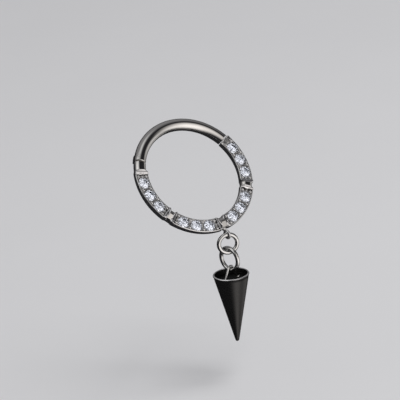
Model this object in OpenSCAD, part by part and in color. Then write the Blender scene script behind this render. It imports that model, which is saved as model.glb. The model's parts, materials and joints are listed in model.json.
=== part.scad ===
// Hinged piercing ring with four stone-set panels and a spike on two jump rings.
// The origin is the middle of the wire at the ring's highest point, where the piercing sits.
// +Z is up along the hanging line. The ring faces -Y and leans back from upright.
// Angles on the ring are counted from its right side, anticlockwise as seen from the front.

/* [Ring] */
// Diameter of the plain round wire
wire_d = 1.2; // [1.1:0.05:1.3]
// Inner diameter of the closed ring
inner_d = 10; // [9.8:0.1:11]
// How far the ring leans back from upright, in degrees
lean = 40; // [30:1:50]
// Gap between two ends that meet
seam = 0.05; // [0.03:0.01:0.08]

/* [Stone panels] */
// Number of panels
panel_count = 4; // [2:1:4]
// Angle from one panel's middle to the next
panel_pitch = 57.4; // [56:0.2:58]
// Angle by which the middle gap, with the lug, is longer than the others
lug_room = 1.2; // [0:0.2:2]
// Angle on the ring of the middle of the row of panels
panels_at = -86.2; // [-87:0.1:-85.5]
// Angle that one panel takes up
panel_span = 51; // [50:0.1:52]
// Angle by which the first and the last panel are longer at their outer ends
end_run = 1.2; // [0:0.1:1.4]
// Height of the flat front of the stub and the bare wires over the middle of the wire
flat_h = 0.54; // [0.5:0.01:0.58]
// Width of a panel across the ring's face
panel_w = 1.34; // [1.3:0.02:1.4]
// Height of a panel's flat face over the middle of the wire
face_h = 0.35; // [0.34:0.01:0.4]
// Bevel along the edges of a panel's face
bevel = 0.05; // [0.03:0.01:0.06]

/* [Stones] */
// Number of stones in a panel
stones_each = 3; // [1:1:3]
// Diameter of a stone
stone_d = 1.15; // [1:0.05:1.15]
// Angle from one stone to the next
stone_pitch = 14.1; // [13.8:0.1:14.4]
// Height of the stones' girdles over the middle of the wire
girdle_h = 0.25; // [0.2:0.01:0.28]
// Clearance between a stone and its seat
seat_gap = 0.02; // [0.01:0.005:0.03]
// Diameter of the grains of metal that hold the stones
grain_d = 0.24; // [0.16:0.02:0.26]
// Distance of a grain from the middle of its row
grain_off = 0.41; // [0.38:0.01:0.45]

/* [Hinge and clasp] */
// Angle that the plain stub takes up between the hinge and the first panel
stub_span = 10.7; // [10:0.1:12]
// Gap between the stub and the bar at the hinge
hinge_seam = 0.08; // [0.08:0.01:0.1]
// Distance of the hinge pin from that gap, along the bar
pin_back = 0.55; // [0.5:0.01:0.6]
// Distance of the hinge pin from the middle of the wire, outwards
pin_out = 0.3; // [0.3:0.01:0.34]
// How far the tongue stands proud of the wire on the outside of the ring
tongue_proud = 0.06; // [0.03:0.01:0.06]
// Thickness of the tongue in the middle of the hinge
tongue_t = 0.4; // [0.3:0.02:0.44]
// Diameter of the hinge pin
pin_d = 0.26; // [0.2:0.02:0.28]
// Running clearance in the hinge
hinge_gap = 0.03; // [0.02:0.005:0.04]
// Diameter of the clasp's nub
nub_d = 0.32; // [0.24:0.02:0.34]
// Length of the clasp's nub
nub_len = 0.26; // [0.2:0.02:0.3]

/* [Lug and links] */
// Angle on the ring of the lug, in the middle gap between panels
lug_angle = -86.5; // [-90:0.5:-85]
// Radius on the ring of the middle of the lug's eye
eye_at = 6.8; // [6.75:0.01:6.9]
// Outer diameter of the lug's eye
eye_d = 1; // [0.98:0.01:1.04]
// Diameter of the lug's wire
eye_wire = 0.24; // [0.2:0.01:0.24]
// Diameter of the jump rings' wire
link_wire = 0.42; // [0.36:0.01:0.42]
// Outer diameter of the upper jump ring
upper_link_d = 2.28; // [2.2:0.02:2.6]
// Outer diameter of the lower jump ring
lower_link_d = 2.66; // [2.4:0.02:2.8]
// Turn of the upper jump ring about the hanging line, in degrees
upper_turn = -20; // [-25:1:-10]
// Turn of the lower jump ring about the hanging line, in degrees
lower_turn = -80; // [-85:1:-75]
// Play between two wires that hook into each other
play = 0.02; // [0.01:0.005:0.03]

/* [Spike] */
// Diameter of the spike's base
base_d = 3.6; // [3.2:0.1:4]
// Length of the spike from its rim to its tip
spike_len = 7.15; // [6:0.05:8]
// Diameter of the spike's rounded tip
tip_d = 0.4; // [0.3:0.05:0.6]
// Width of the rim around the recess in the base
rim_w = 0.16; // [0.12:0.01:0.2]
// Depth of the recess in the base
recess = 0.55; // [0.4:0.05:0.7]
// Diameter of the bail's wire
bail_wire = 0.24; // [0.2:0.02:0.26]
// Radius of the arc at the top of the bail, at the middle of its wire
bail_r = 0.36; // [0.35:0.01:0.4]
// Angle by which each leg of the bail spreads from upright
bail_splay = 25; // [15:1:30]
// Height of the bail's arc centre over the rim
bail_rise = 0.41; // [0.38:0.01:0.6]

/* [Hidden] */
$fn = 48;
ring_r = (inner_d + wire_d) / 2;
wire_r = wire_d / 2;
panel_hw = panel_w / 2;
stone_r = stone_d / 2;
// Two shapes that are joined or cut at one face run on by this much
overlap = 0.001;

// Angle that a short length takes up on the middle of the wire
function angle_of(length) = length / ring_r * 180 / PI;

// Angle on the ring of the middle of panel k, counted from 0 at the hinge
function panel_middle(k) = panels_at + (k - (panel_count - 1) / 2) * panel_pitch
    + sign(k - (panel_count - 1) / 2) * lug_room / 2;

// Angle on the ring of a panel's end: lead is 1 at its start and -1 at its end
function panel_end(k, lead) = let (outer = lead > 0 ? k == 0 : k == panel_count - 1)
    panel_middle(k) - lead * (panel_span / 2 + (outer ? end_run : 0));

collar_angle = panel_end(0, 1);
clasp_angle = panel_end(panel_count - 1, -1);
hinge_angle = collar_angle - stub_span;
pin_angle = hinge_angle - angle_of(pin_back);

// Brilliant cut, as parts of the stone's diameter or radius
table_part = 0.56;
star_part = 0.78;
crown_part = 0.15;
girdle_part = 0.035;
pavilion_part = 0.43;
lower_part = 0.22;
crown_z = crown_part * stone_d;
girdle_z = girdle_part * stone_d / 2;
culet_z = -girdle_z - pavilion_part * stone_d;

// The tongue ends in a round knuckle about the pin, and this gap is cut beyond it
knuckle_r = wire_r + tongue_proud - pin_out;
relief_gap = 0.07;
tongue_in = 0.5;
pin_seat_gap = 0.01;
// The clasp's pocket is this much deeper and wider than its nub, and runs outwards for the swing
pocket_gap = 0.04;
pocket_out = 0.2;

// The lug's eye stands on a short foot, and the bail's plane is square to the link that it hangs on
lug_foot_d = 1.5 * eye_wire;
bail_turn = lower_turn + 90;
eye_r = (eye_d - eye_wire) / 2;
upper_r = (upper_link_d - link_wire) / 2;
lower_r = (lower_link_d - link_wire) / 2;

// Place in the part's frame of a point given by its angle, radius and height on the ring
function on_ring(a, r, h) = let (w = r * sin(a) - ring_r)
    [r * cos(a), w * sin(lean) - h * cos(lean), w * cos(lean) + h * sin(lean)];

// The hanging line, from the lug's eye down
eye_pos = on_ring(lug_angle, eye_at, 0);
upper_top = eye_pos - [0, 0, eye_r - eye_wire / 2 - link_wire / 2 - play];
upper_pos = upper_top - [0, 0, upper_r];
lower_top = upper_pos - [0, 0, upper_r - link_wire - play];
lower_pos = lower_top - [0, 0, lower_r];
bail_pos = lower_pos - [0, 0, lower_r];
rim_pos = bail_pos - [0, 0, bail_rise];

// The cone's sides meet the tip's ball where they are tangent to it
tip_r = tip_d / 2;
tip_drop = spike_len - tip_r;
side_lean = atan((base_d / 2 - tip_r) / tip_drop);
recess_r = base_d / 2 - rim_w;

stone_total = panel_count * stones_each;
function stone_name(i) = str("stone_", i < 10 ? "0" : "", i);

// Angle on the ring of a stone, counted from the hinge
function stone_angle(i) = panel_middle(floor((i - 1) / stones_each))
    + ((i - 1) % stones_each - (stones_each - 1) / 2) * stone_pitch;

// Turns the ring's own plane, with the ring's middle as its origin, into place
module in_ring() {
    rotate([90 - lean, 0, 0]) translate([0, -ring_r, 0]) children();
}

// A place on the ring: X points outwards, Y on around the ring and Z out of its face
module at(angle, r) {
    rotate([0, 0, angle]) translate([r, 0, 0]) children();
}

module around(from, to) {
    rotate([0, 0, from]) rotate_extrude(angle = to - from) children();
}

module plain_wire(from, to) {
    around(from, to) translate([ring_r, 0]) circle(wire_r);
}

// Round wire whose front is ground flat
module flat_wire(from, to) {
    around(from, to) translate([ring_r, 0]) intersection() {
        circle(wire_r);
        translate([-wire_d, -wire_d]) square([2 * wire_d, wire_d + flat_h]);
    }
}

// A disc about the hinge pin, as thick as given
module hinge_disc(r, thick) {
    at(pin_angle, ring_r + pin_out) translate([0, 0, -thick / 2]) cylinder(h = thick, r = r);
}

// Plain bar, forked for the hinge's tongue at one end and with the clasp's nub at the other
module bar() {
    slot = tongue_t + 2 * hinge_gap;
    start = clasp_angle + angle_of(seam);
    color([0.74, 0.73, 0.71]) in_ring() difference() {
        union() {
            plain_wire(start, hinge_angle + 360 - angle_of(hinge_seam));
            at(start, ring_r) translate([0, nub_d / 2, 0])
                rotate([90, 0, 0]) cylinder(h = nub_d / 2 + nub_len, d = nub_d);
        }
        around(pin_angle - angle_of(relief_gap), hinge_angle) translate([ring_r, 0])
            square([2 * wire_d, slot], center = true);
        hinge_disc(knuckle_r + relief_gap, slot);
        hinge_disc(pin_d / 2 + pin_seat_gap, 2 * wire_d);
    }
}

// The pin's ends are ground flush with the bar
module hinge_pin() {
    color([0.74, 0.73, 0.71]) in_ring() intersection() {
        hinge_disc(pin_d / 2, 2 * wire_d);
        plain_wire(hinge_angle - stub_span, hinge_angle);
    }
}

// Plain stub with the hinge's tongue, which runs past the gap to its knuckle about the pin
module stub() {
    difference() {
        union() {
            flat_wire(hinge_angle, collar_angle + angle_of(overlap));
            around(pin_angle, hinge_angle + angle_of(hinge_seam)) translate([ring_r - tongue_in, -tongue_t / 2])
                square([tongue_in + wire_r + tongue_proud, tongue_t]);
            hinge_disc(knuckle_r, tongue_t);
        }
        hinge_disc(pin_d / 2 + hinge_gap, 2 * wire_d);
    }
}

// Section of a panel: a flat bevelled face over a round back
module panel_section() {
    union() {
        polygon([[-panel_hw, 0], [panel_hw, 0], [panel_hw, face_h - bevel], [panel_hw - bevel, face_h],
            [bevel - panel_hw, face_h], [-panel_hw, face_h - bevel]]);
        intersection() {
            circle(panel_hw);
            translate([-panel_w, -panel_w]) square([2 * panel_w, panel_w]);
        }
    }
}

module panel(k) {
    around(panel_end(k, 1), panel_end(k, -1)) translate([ring_r, 0]) panel_section();
}

// Pairs of grains stand at both ends of a panel's stones and between them
module grains(k) {
    for (row = [0:stones_each], side = [-1, 1])
        at(panel_middle(k) + (row - stones_each / 2) * stone_pitch, ring_r + side * grain_off)
            translate([0, 0, face_h]) sphere(d = grain_d);
}

module seat() {
    r = stone_r + seat_gap;
    translate([0, 0, girdle_h - girdle_z - seat_gap]) cylinder(h = panel_w, r = r);
    translate([0, 0, girdle_h + culet_z - seat_gap])
        cylinder(h = -culet_z - girdle_z + overlap, r1 = seat_gap, r2 = r);
}

module lug() {
    at(lug_angle, eye_at) rotate([90, 0, 0]) rotate_extrude() translate([eye_r, 0]) circle(d = eye_wire);
    at(lug_angle, ring_r) rotate([0, 90, 0]) cylinder(h = eye_at - ring_r - eye_r, d = lug_foot_d);
}

// One soldered solid: the stub, the panels, the bare wires between them, the grains and the lug
module stone_half() {
    join = angle_of(overlap);
    color([0.78, 0.78, 0.78]) in_ring() difference() {
        union() {
            stub();
            for (k = [0:panel_count - 1]) {
                panel(k);
                grains(k);
            }
            for (k = [1:panel_count - 1])
                flat_wire(panel_end(k - 1, -1) - join, panel_end(k, 1) + join);
            lug();
        }
        for (i = [1:stone_total]) at(stone_angle(i), ring_r) seat();
        at(clasp_angle, ring_r) translate([-nub_d / 2 - pocket_gap, -nub_len - pocket_gap, -nub_d / 2 - pocket_gap])
            cube([nub_d + pocket_gap + pocket_out, 2 * nub_len, nub_d + 2 * pocket_gap]);
    }
}

// Round brilliant with its girdle at Z = 0, table up
module brilliant() {
    steps = [0:7];
    table_r = stone_r * table_part;
    star_r = stone_r * star_part;
    top_z = girdle_z + crown_z;
    star_z = top_z - crown_z * (star_r * cos(22.5) - table_r) / (stone_r - table_r);
    lower_r1 = stone_r * lower_part;
    lower_z = culet_z - (culet_z + girdle_z) * lower_r1 * cos(22.5) / stone_r;
    points = concat(
        [for (k = steps) [table_r * cos(45 * k), table_r * sin(45 * k), top_z]],
        [for (k = steps) [star_r * cos(45 * k + 22.5), star_r * sin(45 * k + 22.5), star_z]],
        [for (k = [0:15]) [stone_r * cos(22.5 * k), stone_r * sin(22.5 * k), girdle_z]],
        [for (k = [0:15]) [stone_r * cos(22.5 * k), stone_r * sin(22.5 * k), -girdle_z]],
        [for (k = steps) [lower_r1 * cos(45 * k + 22.5), lower_r1 * sin(45 * k + 22.5), lower_z]],
        [[0, 0, culet_z]]);
    faces = concat(
        [[for (k = steps) 7 - k]],
        [for (k = steps) [k, (k + 1) % 8, 8 + k]],
        [for (k = steps) [k, 8 + k, 16 + 2 * k, 8 + (k + 7) % 8]],
        [for (k = steps) [8 + k, 17 + 2 * k, 16 + 2 * k]],
        [for (k = steps) [8 + k, 16 + (2 * k + 2) % 16, 17 + 2 * k]],
        [for (k = [0:15]) [16 + k, 16 + (k + 1) % 16, 32 + (k + 1) % 16, 32 + k]],
        [for (k = steps) [48 + k, 32 + 2 * k, 33 + 2 * k]],
        [for (k = steps) [48 + k, 33 + 2 * k, 32 + (2 * k + 2) % 16]],
        [for (k = steps) [56, 48 + (k + 7) % 8, 32 + 2 * k, 48 + k]]);
    polyhedron(points, faces);
}

module stone(i) {
    color([0.93, 0.96, 1]) in_ring() at(stone_angle(i), ring_r) translate([0, 0, girdle_h]) brilliant();
}

// A jump ring that hangs upright, turned about the hanging line
module link(pos, r, turn) {
    color([0.76, 0.76, 0.75]) translate(pos) rotate([0, 0, turn]) rotate([90, 0, 0])
        rotate_extrude() translate([r, 0]) circle(d = link_wire);
}

// Wire bail in its own plane: an arc around the origin on two legs that spread
module bail() {
    leg_len = (bail_r * sin(bail_splay) + bail_rise + recess + bail_wire) / cos(bail_splay);
    rotate([0, 0, bail_splay]) rotate_extrude(angle = 180 - 2 * bail_splay)
        translate([bail_r, 0]) circle(d = bail_wire);
    for (side = [0, 1]) mirror([side, 0, 0]) rotate([0, 0, bail_splay])
        translate([bail_r, 0, 0]) rotate([90, 0, 0]) cylinder(h = leg_len, d = bail_wire);
}

module cone() {
    tangent_z = tip_drop - tip_r * sin(side_lean);
    difference() {
        union() {
            translate([0, 0, -tangent_z])
                cylinder(h = tangent_z, r1 = tip_r * cos(side_lean), r2 = base_d / 2);
            translate([0, 0, -tip_drop]) sphere(tip_r);
        }
        translate([0, 0, -recess]) cylinder(h = 2 * recess, r = recess_r);
    }
}

module spike() {
    color([0.3, 0.295, 0.29]) union() {
        translate(rim_pos) cone();
        translate(bail_pos) rotate([0, 0, bail_turn]) rotate([90, 0, 0]) bail();
    }
}

bar();
stone_half();
hinge_pin();
for (i = [1:stone_total]) stone(i);
link(upper_pos, upper_r, upper_turn);  // upper_link
link(lower_pos, lower_r, lower_turn);  // lower_link
spike();
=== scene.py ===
"""Dresses the hinged stone-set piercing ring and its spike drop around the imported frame."""

import json
import math
from types import SimpleNamespace
from typing import NamedTuple

import bmesh
import bpy
from bpy.props import FloatProperty, FloatVectorProperty, IntProperty, PointerProperty
from mathutils import Matrix, Vector


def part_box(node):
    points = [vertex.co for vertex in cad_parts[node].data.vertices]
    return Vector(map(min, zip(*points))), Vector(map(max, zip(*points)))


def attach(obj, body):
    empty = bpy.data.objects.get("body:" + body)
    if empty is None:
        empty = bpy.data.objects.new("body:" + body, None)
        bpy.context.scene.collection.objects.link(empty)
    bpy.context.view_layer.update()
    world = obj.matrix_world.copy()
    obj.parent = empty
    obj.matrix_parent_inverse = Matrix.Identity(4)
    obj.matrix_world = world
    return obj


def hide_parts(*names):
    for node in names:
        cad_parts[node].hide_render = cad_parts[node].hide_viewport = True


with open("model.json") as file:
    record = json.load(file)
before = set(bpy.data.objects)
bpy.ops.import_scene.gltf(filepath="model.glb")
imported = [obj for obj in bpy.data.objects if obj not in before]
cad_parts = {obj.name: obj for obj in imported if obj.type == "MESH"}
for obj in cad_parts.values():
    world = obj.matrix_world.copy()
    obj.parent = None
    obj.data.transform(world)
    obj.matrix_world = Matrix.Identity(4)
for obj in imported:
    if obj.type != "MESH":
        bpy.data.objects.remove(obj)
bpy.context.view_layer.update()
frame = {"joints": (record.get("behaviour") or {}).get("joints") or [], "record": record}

bl_info = {
    "name": "Stone-set piercing ring",
    "version": (1, 0, 0),
    "blender": (4, 5, 0),
    "location": "View3D > Sidebar > Piercing ring",
    "description": "Makes a hinged piercing ring with stone-set panels and a spike on two jump rings",
    "category": "Object",
}

MM = 1000
TURN = 2 * math.pi
QUARTER_X = Matrix.Rotation(TURN / 4, 4, "X")
SLOTS = {m["slot"]: m for m in frame["record"]["materials"]}

# Points round a full section of wire, and along the parts of a flat-fronted section
WIRE_POINTS = 64
UNDER_POINTS = 36
SIDE_POINTS = 10
EDGE_POINTS = 5
FACE_POINTS = 8
# Steps along a panel's flat face and its trough
PANEL_STEPS = 56
# Degrees above which an edge stays sharp
CREASE = 32
# Rounding of the ends of the bar, the stub and the nub, in millimetres
BAR_END = 0.04
STUB_END = 0.06
NUB_END = 0.05
# Width of the eased edges of the bar, and of those of the stub and the panels
BAR_EDGE = 0.015
FINE_EDGE = 0.012
# A seat's straight wall below its girdle, and how far over the face its cutter reaches
SEAT_WALL = 0.04
SEAT_CLEAR = 0.4
# Height of a trough's floor over the girdles, length of its ramps, how far they end below the brink, and
# how far over the rim the trough's cutter reaches
TROUGH_FLOOR = 0.02
TROUGH_RAMP = 0.05
TROUGH_END = 0.02
TROUGH_CLEAR = 0.2


def joint(name):
    """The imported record's joint of that name"""
    return next(j for j in frame["joints"] if j["name"] == name)


def joint_place(name):
    """Where a joint is, in millimetres"""
    return Vector(joint(name)["pos_m"]) * MM


def slot_colour(slot):
    """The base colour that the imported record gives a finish"""
    return tuple(SLOTS[slot]["base_color"])


def length(name, description, default):
    """A size in metres"""
    return FloatProperty(name=name, description=description, default=default, min=0, precision=6,
                         unit="LENGTH")


def lengths(name, description, default):
    """Three sizes, or a place, in metres"""
    return FloatVectorProperty(name=name, description=description, default=default, size=3, precision=6,
                               unit="LENGTH")


def angle(name, description, degrees):
    """An angle, given in degrees"""
    return FloatProperty(name=name, description=description, default=math.radians(degrees),
                         unit="ROTATION")


def share(name, description, default):
    """A number from 0 to 1"""
    return FloatProperty(name=name, description=description, default=default, min=0, max=1,
                         subtype="FACTOR")


def colour(name, description, default):
    """A linear colour"""
    return FloatVectorProperty(name=name, description=description, default=default, size=3, min=0, max=1,
                               subtype="COLOR")


def light_colour(name, description, default):
    """The colour and strength of a light in one"""
    return FloatVectorProperty(name=name, description=description, default=default, size=3, min=0,
                               soft_max=4, subtype="COLOR")


class RingSizes(bpy.types.PropertyGroup):
    """Sizes of the ring"""

    wire_d: length("Wire", "Diameter of the plain round wire", 0.0012)
    inner_d: length("Inner diameter", "Inner diameter of the closed ring", 0.010)
    seam: length("Seam", "Gap between two ends that meet", 0.00005)
    panel_count: IntProperty(name="Panels", description="Number of stone-set panels", default=4, min=1)
    panel_pitch: angle("Panel pitch", "Angle from one panel's middle to the next", 57.4)
    lug_room: angle("Lug room", "Angle by which the middle gap is longer than the others", 1.2)
    panels_at: angle("Panels at", "Angle on the ring of the middle of the row of panels", -86.2)
    panel_span: angle("Panel span", "Angle that one panel takes up", 51)
    end_run: angle("End run", "Angle by which the row is longer at each of its two ends", 1.2)
    panel_w: length("Panel width", "Width of a panel across the ring's face", 0.00134)
    face_h: length("Face height", "Height of a panel's face over the middle of the wire", 0.00035)
    rail_round: length("Rail rounding", "Radius along the outer edges of a panel's face", 0.0001)
    flare_out: angle("Flare start", "Angle by which a flare starts before its panel's end", 1.5)
    flare_in: angle("Flare end", "Angle by which a flare runs on into its panel", 1.2)
    rim_h: length("Rim height", "Height of the panels' rims, where a flare ends", 0.00049)
    brink_h: length("Brink height", "Height that a rim slopes down to at the trough's end", 0.00043)
    brink_run: angle("Brink", "Angle over which a panel drops from its brink to its face", 0.35)
    flat_h: length("Flat front", "Height of the flat front of the stub and bare wires", 0.00054)
    flat_lean: angle("Flat lean", "Outward lean of the flat front of the two lower bare wires", 26)
    stones_each: IntProperty(name="Stones", description="Number of stones in a panel", default=3, min=1)
    stone_d: length("Stone", "Diameter of a stone", 0.00115)
    stone_pitch: angle("Stone pitch", "Angle from one stone to the next", 14.1)
    girdle_h: length("Girdle height", "Height of the girdles over the middle of the wire", 0.00025)
    seat_gap: length("Seat gap", "Clearance between a stone and its seat", 0.00002)
    grain_off: length("Grain offset", "Distance of a grain from the middle of its row", 0.00041)
    grain: lengths("Grain", "Half sizes of a grain: across, along and up", (0.00013, 0.00017, 0.00014))
    grain_low: length("Grain depth", "Depth of a grain's middle below the face", 0.00003)
    end_grain: lengths("End grain", "Half sizes of the grain at a trough's end", (0.0001, 0.0001, 0.00011))
    end_grain_low: length("End grain depth", "Depth of an end grain's middle below the face", 0.00006)
    trough_w: length("Trough width", "Width of the bright-cut trough at the panel's face", 0.00112)
    trough_slope: length("Trough slope", "Width of each sloping side of the trough", 0.00006)
    trough_span: angle("Trough span", "Angle that the trough takes up in its panel", 46.6)
    slot_w: length("Slot width", "Width of each of the two deep cuts at a trough's end", 0.00044)
    slot_len: length("Slot length", "Length along the ring of a deep cut", 0.00012)
    slot_depth: length("Slot depth", "Depth of a deep cut below the panel's face", 0.0002)
    lug_angle: angle("Lug angle", "Angle on the ring of the lug", -86.5)
    stub_span: angle("Stub span", "Angle of the stub from the hinge to the first panel", 10.7)
    hinge_seam: length("Hinge seam", "Gap between the stub and the bar at the hinge", 0.00008)
    tongue_proud: length("Tongue proud", "How far the tongue stands proud of the wire", 0.00006)
    tongue_in: length("Tongue inside", "Reach of the tongue inwards from the wire's middle", 0.0005)
    tongue_t: length("Tongue", "Thickness of the tongue in the hinge", 0.0004)
    hinge_gap: length("Hinge gap", "Running clearance in the hinge", 0.00003)
    relief_gap: length("Relief gap", "Gap around the tongue's round end", 0.00007)
    pin_d: length("Pin", "Diameter of the hinge pin", 0.00026)
    pin_gap: length("Pin gap", "Clearance of the pin in the bar", 0.00001)
    nub_d: length("Nub", "Diameter of the clasp's nub", 0.00032)
    nub_len: length("Nub length", "Length of the clasp's nub", 0.00026)
    pocket_gap: length("Pocket gap", "Clearance of the nub in the clasp's pocket", 0.00004)
    pocket_out: length("Pocket run", "How far the pocket runs outwards for the swing", 0.0002)


class DropSizes(bpy.types.PropertyGroup):
    """Sizes of the lug, the jump rings and the spike"""

    eye_at: length("Eye radius", "Radius on the ring of the middle of the lug's eye", 0.0068)
    eye_d: length("Eye", "Diameter of the lug's eye, with room for the jump ring's swing", 0.00102)
    eye_wire: length("Eye wire", "Diameter of the lug's wire", 0.00023)
    foot_d: length("Lug foot", "Diameter of the lug's foot where it meets the eye", 0.00024)
    foot_in: length("Foot start", "Distance of the foot's hidden end from the wire's middle", 0.0003)
    solder: length("Solder", "How far solder spreads around the feet of lug and bail", 0.0001)
    solder_run: length("Solder run", "How far solder climbs the bail's legs", 0.00022)
    link_wire: length("Link wire", "Diameter of the jump rings' wire", 0.00042)
    upper_turn: angle("Upper turn", "Turn of the upper jump ring about the hanging line", -20)
    lower_turn: angle("Lower turn", "Turn of the lower jump ring about the hanging line", -80)
    tip_d: length("Tip", "Diameter of the spike's rounded tip", 0.0004)
    rim_w: length("Rim", "Width of the rim around the recess in the base", 0.00016)
    rim_ease: length("Rim rounding", "Radius of the rim's outer edge", 0.00011)
    lip_ease: length("Lip rounding", "Radius of the rim's inner edge", 0.00004)
    recess: length("Recess", "Depth of the recess in the base", 0.00055)
    fillet: length("Recess fillet", "Radius around the recess's floor", 0.00012)
    bail_wire: length("Bail wire", "Diameter of the bail's wire", 0.00024)
    bail_r: length("Bail arc", "Radius of the arc at the top of the bail", 0.00036)
    bail_splay: angle("Bail splay", "Angle by which each leg of the bail spreads", 25)
    bail_rise: length("Bail rise", "Height of the bail's arc centre over the rim", 0.00041)


class Finishes(bpy.types.PropertyGroup):
    """Colours and polish of the metals and stones"""

    steel: colour("Steel", "Colour of the plain bar, the stub and the bare wires",
                  slot_colour("polished_steel"))
    setting: colour("Setting", "Colour of the stone-set panels", slot_colour("setting_steel"))
    links: colour("Jump rings", "Colour of the jump rings", slot_colour("link_steel"))
    spike: colour("Spike", "Colour of the spike", slot_colour("spike_steel"))
    stone: colour("Stone", "Colour of the stones", slot_colour("clear_stone"))
    # Painted highlight: a brighter colour laid on the rims of the panels and of the spike to bring out
    # their highlight lines
    rubbed: colour("Painted rim highlight", "Colour of the rims that are rubbed bright", (0.93, 0.93, 0.94))
    polish: share("Polish", "Roughness of the plain bar", 0.09)
    setting_polish: share("Setting polish", "Roughness of the panels", 0.3)
    link_polish: share("Link polish", "Roughness of the jump rings", 0.2)
    spike_polish: share("Spike polish", "Roughness of the spike", 0.27)
    # Painted shade: the spike's colour is darkened well below its own, standing in for the dark
    # surroundings it mirrors
    spike_shade: share("Spike shade", "How much of its colour the darkened spike keeps", 0.28)
    spike_metal: share("Spike metal", "How far the spike's dark finish is bare metal", 0.9)
    # Painted shade: the metal's colour is darkened deep in the troughs
    trough_shade: share("Trough shade", "How much of its colour the metal keeps in the troughs", 0.65)
    # Painted shade: the spike's colour goes near black inside the recess
    recess_shade: share("Recess shade", "How much of its colour the spike keeps in its recess", 0.16)
    dull: share("Dull hollows", "How much rougher the metal is in the troughs and the recess", 0.2)
    bright: share("Bright edges", "How much smoother the rubbed rims are", 0.12)
    stone_index: FloatProperty(name="Stone index", description="Refraction of the stones", default=2.16,
                               min=1)


class Studio(bpy.types.PropertyGroup):
    """Camera, lights and floor"""

    camera_turn: angle("Camera turn", "Turn of the camera from the front about the upright", -33.12)
    camera_rise: angle("Camera rise", "Height of the camera over the horizon", 19.32)
    camera_roll: angle("Camera roll", "Roll of the camera about its line of sight", 5.78)
    camera_far: length("Camera distance", "Distance from the camera to what it looks at", 0.2633)
    lens: FloatProperty(name="Lens", description="Focal length in millimetres", default=242.2,
                        subtype="DISTANCE_CAMERA")
    look_at: lengths("Look at", "Middle of the picture", (-0.0002, -0.004714, -0.006523))
    floor_drop: length("Floor drop", "Gap between the spike's tip and the floor", 0.004)
    floor_half: length("Floor size", "Half of the floor's width", 1.0)
    floor: colour("Floor", "Colour of the floor", (0.8, 0.8, 0.81))
    haze: light_colour("Haze", "Even light on the floor, which the view shows past it", (0.42, 0.42, 0.43))
    dark: light_colour("Dark", "What the metal mirrors away from the lights", (0.02, 0.02, 0.022))
    main: light_colour("Main light", "Large soft light in front", (1.13, 1.08, 1.05))
    side: light_colour("Side light", "Second soft light, further round", (0.72, 0.7, 0.69))
    left: light_colour("Left light", "Third soft light, high up on the left", (0.9, 0.89, 0.88))
    low: light_colour("Low light", "Weak light from below", (0.25, 0.24, 0.235))
    high: light_colour("High light", "Weak light high up behind", (0.235, 0.23, 0.235))
    top: light_colour("Top light", "Soft light straight above", (0.5, 0.5, 0.5))
    spark: light_colour("Sparkle", "Bright patches that the stones bring out", (1.5, 1.5, 1.58))
    lamp_w: length("Lamp size", "Width of the lamp over the floor", 0.22)
    lamp_power: FloatProperty(name="Lamp power", description="Power of that lamp in watts", default=0.62,
                              min=0)
    lamp_at: lengths("Lamp at", "Place of that lamp", (0.1, -0.12, 0.33))
    lamp_to: lengths("Lamp aim", "Place that the lamp faces", (0, 0, -0.02))


def in_mm(group):
    """A group's settings as plain numbers, with lengths in millimetres"""
    plain = {}
    for prop in group.bl_rna.properties:
        if prop.identifier in ("rna_type", "name"):
            continue
        value = getattr(group, prop.identifier)
        if prop.unit == "LENGTH":
            value = Vector(value) * MM if prop.array_length else value * MM
        plain[prop.identifier] = value
    return SimpleNamespace(**plain)


def spun(turn):
    """A turn about Z"""
    return Matrix.Rotation(turn, 4, "Z")


def moved(x=0.0, y=0.0, z=0.0):
    """A move"""
    return Matrix.Translation((x, y, z))


def steps(start, end, count):
    """Evenly spaced numbers from start to end"""
    return [start + (end - start) * k / count for k in range(count + 1)]


def hoop(place, radius, turns):
    """Places for sections along a circle about a place's Z: X points outwards and Y along that Z"""
    return [place @ spun(turn) @ moved(radius) @ QUARTER_X for turn in turns]


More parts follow.
